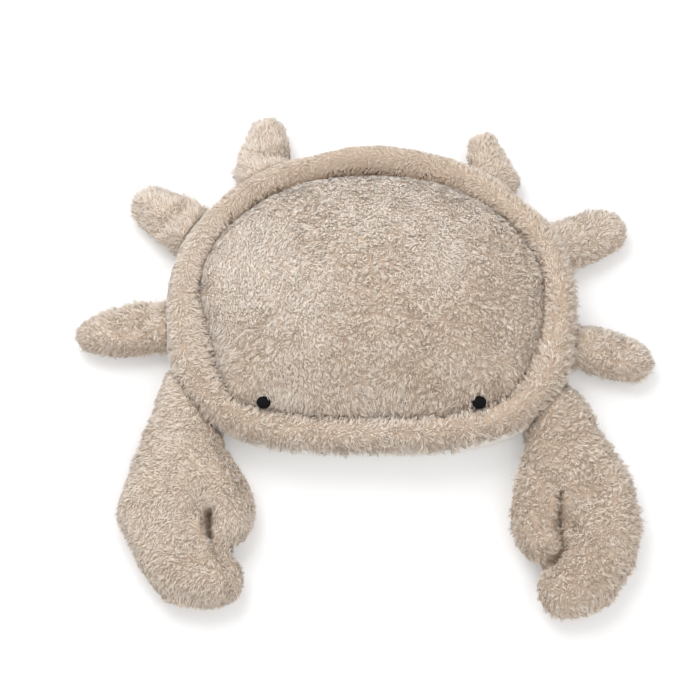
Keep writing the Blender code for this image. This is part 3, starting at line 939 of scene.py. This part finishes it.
def locks_mesh(name, kinds):
    """One mesh of three-sided locks, from the rings, tips and looks of each kind.

    The map holds the shade, and how far along the lock a place is, times its reach. The softness turns the
    shading normals from the lock's own towards the cloth's, so the pile takes the light as one surface.
    """
    points, faces, maps, cloth, softness = [], [], [], [], []
    start = 0
    for rings, tip, shade, reach, soft, normals in kinds:
        count, levels = len(tip), len(rings)
        each = 3 * levels + 1
        block = np.concatenate([*rings, tip[:, None, :]], axis=1)
        along = np.repeat(np.arange(levels) * 0.5, 3).tolist() + [1.0]
        across = [0.0, 0.008, 0.016] * levels + [0.008]
        local = []
        for level in range(levels - 1):
            a, b = 3 * level, 3 * (level + 1)
            for k in range(3):
                after = (k + 1) % 3
                local += [(a + k, a + after, b + after), (a + k, b + after, b + k)]
        a = 3 * (levels - 1)
        local += [(a + k, a + (k + 1) % 3, each - 1) for k in range(3)]
        points.append(block.reshape(-1, 3))
        index = start + each * np.arange(count)[:, None, None] + np.array(local)[None]
        faces.append(index.reshape(-1, 3))
        place = np.empty((count, each, 2))
        place[:, :, 0] = shade[:, None] + np.array(across)[None]
        place[:, :, 1] = reach[:, None] * np.array(along)[None]
        maps.append(place.reshape(-1, 2))
        cloth.append(np.repeat(normals, each, axis=0))
        softness.append(np.repeat(soft, each)[:, None])
        start += each * count
    points, faces, maps = (np.concatenate(part) for part in (points, faces, maps))
    cloth, softness = np.concatenate(cloth), np.concatenate(softness)
    mesh = bpy.data.meshes.new(name)
    mesh.from_pydata(points, [], faces)
    layer = mesh.uv_layers.new(name="OFBake")
    layer.uv.foreach_set("vector", maps[faces.ravel()].astype(np.float32).ravel())
    mesh.shade_smooth()
    mesh.normals_split_custom_set_from_vertices(unit((1 - softness) * normals_of(mesh) + softness * cloth))
    return mesh


def outward(places):
    """The level direction from the shell's middle to each place."""
    away = places - np.array(SHELL_CENTRE)
    away[:, 2] = 0
    return unit(away)


def dome_nap(roots, normals):
    """Combed towards the face."""
    aim = np.array((SHELL_CENTRE.x, SHELL_CENTRE.y - 0.24, 0.03))
    return aim - roots


def rim_nap(sizes):
    """Combed away from the crest on both sides, and a little along the rim."""

    def nap(roots, normals):
        away = outward(roots)
        side = ((sizes.crest_inset + 3 * MM - shell_insets(roots)) / (7 * MM)).clip(-1, 1)[:, None]
        along = away[:, [1, 0, 2]] * np.array((-1, 1, 0))
        return away * side + 0.5 * along + np.array((0, 0, -0.3))

    return nap


def limb_nap(roots, normals):
    """Combed from the shell to the tip."""
    return outward(roots)


def directions(points):
    """The direction of each point from the shell's middle, in degrees."""
    return np.degrees(np.arctan2(points[:, 1] - SHELL_CENTRE.y, points[:, 0] - SHELL_CENTRE.x))


def shell_rough(roots):
    """Brushed smooth at the back and on the left, shaggy towards the face and on the right."""
    across = (roots[:, 0] - SHELL_CENTRE.x) / SHELL_HALF_WIDTH
    ahead = (SHELL_CENTRE.y - roots[:, 1]) / SHELL_HALF_DEPTH
    return (0.45 + 0.45 * ahead + 0.3 * across + 0.4 * noise_at(roots, 50 * MM, 21)).clip(0, 1)


# Warmer and darker towards the face and on the right, where the pile is rough: painted shade on the sides of
# the dome that lie away from the light
def dome_tint_and_shade(roots):
    return 0.75 * shell_rough(roots) - 0.12


def rim_tint_and_shade(roots):
    """Warmer than the dome, and warmer and darker at the back, which paints in the shade on the back of the
    rim.
    """
    return 0.3 + 0.15 * shell_rough(roots) + 0.55 * bell(directions(roots), *BACK)


def shell_painted_shade(sizes):
    """Painted shade at the back of the rim, most of all on its inner side, which faces away from the light,
    and next to the ring seam, where the groove lies in shadow.
    """

    def painted_shade(roots):
        degrees = directions(roots)
        past_seam = shell_insets(roots) - sizes.rim_width - shift_at(degrees, SEAM_WANDER)
        inner = ((past_seam + 14 * MM) / (10 * MM)).clip(0, 1) * (past_seam < 0)
        back = bell(degrees, *BACK) * (past_seam < 0)
        beside = (1 - np.abs(past_seam) / (4 * MM)).clip(0, 1)
        return (0.62 * back + 0.3 * inner * back + 0.09 * beside).clip(0, 1)

    return painted_shade


def limb_rough(level):
    return lambda roots: (level + 0.4 * noise_at(roots, 35 * MM, 22)).clip(0, 1)


def limb_tint(level):
    return lambda roots: np.full(len(roots), level)


def shell_length(sizes):
    """Pile shorter at the ring seam, where the stitches hold it down, and longer over the belly seam."""

    def length(roots, normals):
        inset = shell_insets(roots)
        degrees = directions(roots)
        seam = np.abs(inset - sizes.rim_width - shift_at(degrees, SEAM_WANDER))
        near_seam = (1 - seam / (7 * MM)).clip(0, 1) * (1 - 1.3 * bell(degrees, *FRONT))
        near_edge = (1 - inset / (9 * MM)).clip(0, 1)
        return (1 - 0.38 * near_seam) * (1 + near_edge * (0.5 - 0.5 * belly_shows(degrees)))

    return length


def dome_cover(density, side):
    """Locks over the upper face of the dome, on one side of its middle."""

    def cover(places, facing):
        ours = (places[:, 0] - SHELL_CENTRE.x) * side > 0
        return density * ours * (facing[:, 2] > 0.05)

    return cover


def rim_cover(density, side):
    """Locks over the outer and upper faces of the rim, on one side of its middle."""

    def cover(places, facing):
        away = places[:, :2] - np.array(SHELL_CENTRE)[:2]
        outer = (facing[:, :2] * away).sum(axis=1) > 0.5 * np.linalg.norm(away, axis=1)
        return density * (away[:, 0] * side > 0) * (outer | (facing[:, 2] > 0))

    return cover


def make_shell_pile(scene):
    sizes, pile = scene.crab_sizes, scene.crab_pile
    top, rim = bpy.data.objects["shell_top"], bpy.data.objects["shell_rim"]
    painted_shade, length = shell_painted_shade(sizes), shell_length(sizes)
    for label, side in (("left", -1), ("right", 1)):
        cover = dome_cover(pile.dome_density, side)
        coat = Coat(top, dome_nap, cover, shell_rough, dome_tint_and_shade, painted_shade, length, 20 + side)
        grow_pile(scene, f"shell_top_pile_{label}", coat)
        cover = rim_cover(pile.rim_density, side)
        coat = Coat(rim, rim_nap(sizes), cover, shell_rough, rim_tint_and_shade, painted_shade, length, 40 + side)
        grow_pile(scene, f"shell_rim_pile_{label}", coat)


def make_limb_pile(scene, name, seed):
    """Thinner on the underside and in deep folds, and none where the limb lies under the shell."""

    def density(places, facing):
        open_to_view = shell_insets(places) < PILE_UNDER_SHELL
        side = 0.3 + 0.7 * ((facing[:, 2] + 0.6) / 0.5).clip(0, 1)
        return scene.crab_pile.limb_density * side * open_to_view * (1 - 0.3 * deep_folds(name, places))

    def length(roots, normals):
        return (0.78 + 0.22 * normals[:, 2]) * (1 - 0.4 * deep_folds(name, roots))

    # Painted shade in the deep folds, where the locks stay dark like their roots
    def painted_shade(roots):
        return 0.75 * deep_folds(name, roots)

    rough, tint = LIMB_LOOKS[name]
    skin = bpy.data.objects[name]
    coat = Coat(skin, limb_nap, density, limb_rough(rough), limb_tint(tint), painted_shade, length, seed)
    grow_pile(scene, f"{name}_pile", coat)


# Stage


def floor_material(colors):
    graph = new_surface("studio_floor", 0.9, Base_Color=(*colors.floor, 1.0))
    glow = graph.node("ShaderNodeEmission", {}, (1, 1, 1, 1), graph.where_seen(0.0, FLOOR_GLOW))[0]
    both = graph.node("ShaderNodeAddShader", {}, Wire(graph, graph.shader.outputs[0]), glow)[0]
    graph.tree.links.new(both.socket, graph.tree.nodes["Material Output"].inputs["Surface"])
    return graph.owner


def make_stage(scene):
    settings = scene.crab_stage
    bpy.ops.mesh.primitive_circle_add(vertices=96, radius=4.0, fill_type="NGON")
    floor = bpy.context.object
    floor.name = "studio_floor"
    floor.data.materials.append(floor_material(scene.crab_colors))

    camera = bpy.data.objects.new("photo_camera", bpy.data.cameras.new("photo_camera"))
    camera.data.lens = settings.lens
    camera.data.sensor_width = 36.0
    camera.data.clip_end = 20.0
    scene.collection.objects.link(camera)
    target = Vector(settings.target)
    back = Vector((0.0, -math.cos(settings.elevation), math.sin(settings.elevation)))
    camera.location = target + back * settings.distance
    camera.rotation_euler = (math.pi / 2 - settings.elevation, 0.0, 0.0)
    scene.camera = camera

    for name, place, width, power in (
        ("key_light", settings.key_place, settings.key_width, settings.key_power),
        ("fill_light", settings.fill_place, settings.fill_width, settings.fill_power),
    ):
        lamp = bpy.data.lights.new(name, "AREA")
        lamp.energy = power
        lamp.size = width
        light = bpy.data.objects.new(name, lamp)
        light.location = place
        light.rotation_euler = (Vector(place) - target).to_track_quat("Z", "Y").to_euler()
        scene.collection.objects.link(light)

    graph = Graph(bpy.data.worlds.new("studio_world"), "Background", Color=(1.0, 1.0, 1.0, 1.0))
    scene.world = graph.set(Strength=graph.where_seen(settings.sky, 1.0))
    scene.view_settings.view_transform = "Standard"


# Operators and panel


class CrabOperator:
    bl_options = {"REGISTER", "UNDO"}


class CRAB_OT_shell(CrabOperator, bpy.types.Operator):
    """Make the dome, the padded rim and the belly cloth"""

    bl_idname = "crab.shell"
    bl_label = "Shell"

    def execute(self, context):
        make_shell_top(context.scene)
        make_shell_rim(context.scene)
        make_belly(context.scene)
        return {"FINISHED"}


class CRAB_OT_claws(CrabOperator, bpy.types.Operator):
    """Make the stuffed skins of both claws"""

    bl_idname = "crab.claws"
    bl_label = "Claws"

    def execute(self, context):
        for i, name in enumerate(CLAWS):
            make_limb(context.scene, name, 11 + i)
        return {"FINISHED"}


class CRAB_OT_legs(CrabOperator, bpy.types.Operator):
    """Make the stuffed skins of the six legs"""

    bl_idname = "crab.legs"
    bl_label = "Legs"

    def execute(self, context):
        for i, name in enumerate(LEGS):
            make_limb(context.scene, name, 21 + i)
        return {"FINISHED"}


class CRAB_OT_eyes(CrabOperator, bpy.types.Operator):
    """Stitch the two eyes"""

    bl_idname = "crab.eyes"
    bl_label = "Eyes"

    def execute(self, context):
        for name in ("left_eye", "right_eye"):
            make_eye(context.scene, name)
        return {"FINISHED"}


class CRAB_OT_pile(CrabOperator, bpy.types.Operator):
    """Grow the fur pile on the shell, the claws and the legs"""

    bl_idname = "crab.pile"
    bl_label = "Pile"

    def execute(self, context):
        make_shell_pile(context.scene)
        for i, name in enumerate(CLAWS + LEGS):
            make_limb_pile(context.scene, name, 60 + i)
        return {"FINISHED"}


class CRAB_OT_stage(CrabOperator, bpy.types.Operator):
    """Set up the floor, the lights and the camera"""

    bl_idname = "crab.stage"
    bl_label = "Stage"

    def execute(self, context):
        make_stage(context.scene)
        return {"FINISHED"}


class CRAB_PT_panel(bpy.types.Panel):
    bl_idname = "CRAB_PT_panel"
    bl_label = "Plush Crab"
    bl_space_type = "VIEW_3D"
    bl_region_type = "UI"
    bl_category = "Plush Crab"

    def draw(self, context):
        column = self.layout.column()
        for operator in OPERATORS:
            column.operator(operator.bl_idname)
        for label in GROUPS:
            group = getattr(context.scene, label)
            box = self.layout.box()
            for value in group.__annotations__:
                box.prop(group, value)


GROUPS = {
    "crab_sizes": CrabSizes,
    "crab_pile": PileSettings,
    "crab_colors": CrabColors,
    "crab_stage": StageSettings,
}
OPERATORS = (CRAB_OT_stage, CRAB_OT_shell, CRAB_OT_claws, CRAB_OT_legs, CRAB_OT_eyes, CRAB_OT_pile)


def register():
    for label, group in GROUPS.items():
        bpy.utils.register_class(group)
        setattr(bpy.types.Scene, label, PointerProperty(type=group))
    for cls in (*OPERATORS, CRAB_PT_panel):
        bpy.utils.register_class(cls)


def unregister():
    for cls in reversed((*OPERATORS, CRAB_PT_panel)):
        bpy.utils.unregister_class(cls)
    for label, group in GROUPS.items():
        delattr(bpy.types.Scene, label)
        bpy.utils.unregister_class(group)


def main():
    register()
    bpy.ops.crab.stage()
    bpy.ops.crab.shell()
    bpy.ops.crab.claws()
    bpy.ops.crab.legs()
    bpy.ops.crab.eyes()
    bpy.ops.crab.pile()


if __name__ == "__main__":
    main()
